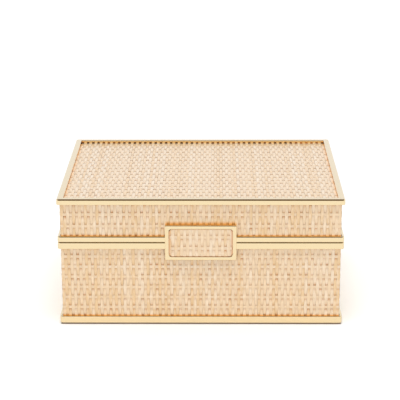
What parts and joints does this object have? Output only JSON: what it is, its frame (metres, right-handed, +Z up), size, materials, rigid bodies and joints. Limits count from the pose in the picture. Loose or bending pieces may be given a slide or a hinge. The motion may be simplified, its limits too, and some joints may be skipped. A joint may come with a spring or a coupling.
{
  "type": "woven lidded box",
  "caption": "Rectangular hinged keepsake box, its walls and lid covered in woven cane and edged in brass rails, with a framed cane plate on the lid front to lift it by.",
  "frame": {"origin": "on the ground, in the middle of the felt pad under the box, which is also under the middle of the box's cane walls", "axes": "+X to the right along the long front, +Y from the front to the hinged back, +Z up"},
  "size_m": [0.2548, 0.2119, 0.118],
  "materials": {
    "cane": "woven natural cane, unvarnished",
    "brass": "polished pale brass",
    "hinge_brass": "satin brass",
    "board": "sawn fibreboard",
    "suede": "napped suede cloth",
    "felt": "pressed wool felt"
  },
  "bodies": {
    "base": {"base_felt_pad": "felt", "base_floor_board": "board", "base_board_front": "board", "base_board_right": "board", "base_board_back": "board", "base_board_left": "board", "base_cane_front": "cane", "base_cane_right": "cane", "base_cane_back": "cane", "base_cane_left": "cane", "foot_rim_front": "brass", "foot_rim_right": "brass", "foot_rim_back": "brass", "foot_rim_left": "brass", "base_rim_front": "brass", "base_rim_right": "brass", "base_rim_back": "brass", "base_rim_left": "brass", "base_wall_lining": "suede", "base_floor_pad": "suede", "hinge_left_base_leaf": "hinge_brass", "hinge_left_base_screw_1": "hinge_brass", "hinge_left_base_screw_2": "hinge_brass", "hinge_left_pin": "hinge_brass", "hinge_right_base_leaf": "hinge_brass", "hinge_right_base_screw_1": "hinge_brass", "hinge_right_base_screw_2": "hinge_brass", "hinge_right_pin": "hinge_brass"},
    "lid": {"lid_rim_front": "brass", "lid_rim_right": "brass", "lid_rim_back": "brass", "lid_rim_left": "brass", "lid_board_front": "board", "lid_board_right": "board", "lid_board_back": "board", "lid_board_left": "board", "lid_cane_front": "cane", "lid_cane_right": "cane", "lid_cane_back": "cane", "lid_cane_left": "cane", "lid_top_board": "board", "lid_top_cane": "cane", "top_frame_front": "brass", "top_frame_right": "brass", "top_frame_back": "brass", "top_frame_left": "brass", "lid_wall_lining": "suede", "lid_top_pad": "suede", "lift_plate": "brass", "lift_plate_cane": "cane", "lift_plate_block": "brass", "lift_plate_screw_left": "hinge_brass", "lift_plate_screw_right": "hinge_brass", "hinge_left_lid_leaf": "hinge_brass", "hinge_left_lid_screw_1": "hinge_brass", "hinge_left_lid_screw_2": "hinge_brass", "hinge_right_lid_leaf": "hinge_brass", "hinge_right_lid_screw_1": "hinge_brass", "hinge_right_lid_screw_2": "hinge_brass"}
  },
  "joints": [
    {"name": "lid_hinge", "type": "hinge", "parent": "base", "child": "lid", "pos_m": [0, 0.1047, 0.078], "axis": [-1, 0, 0], "range_deg": [0, 100]}
  ]
}
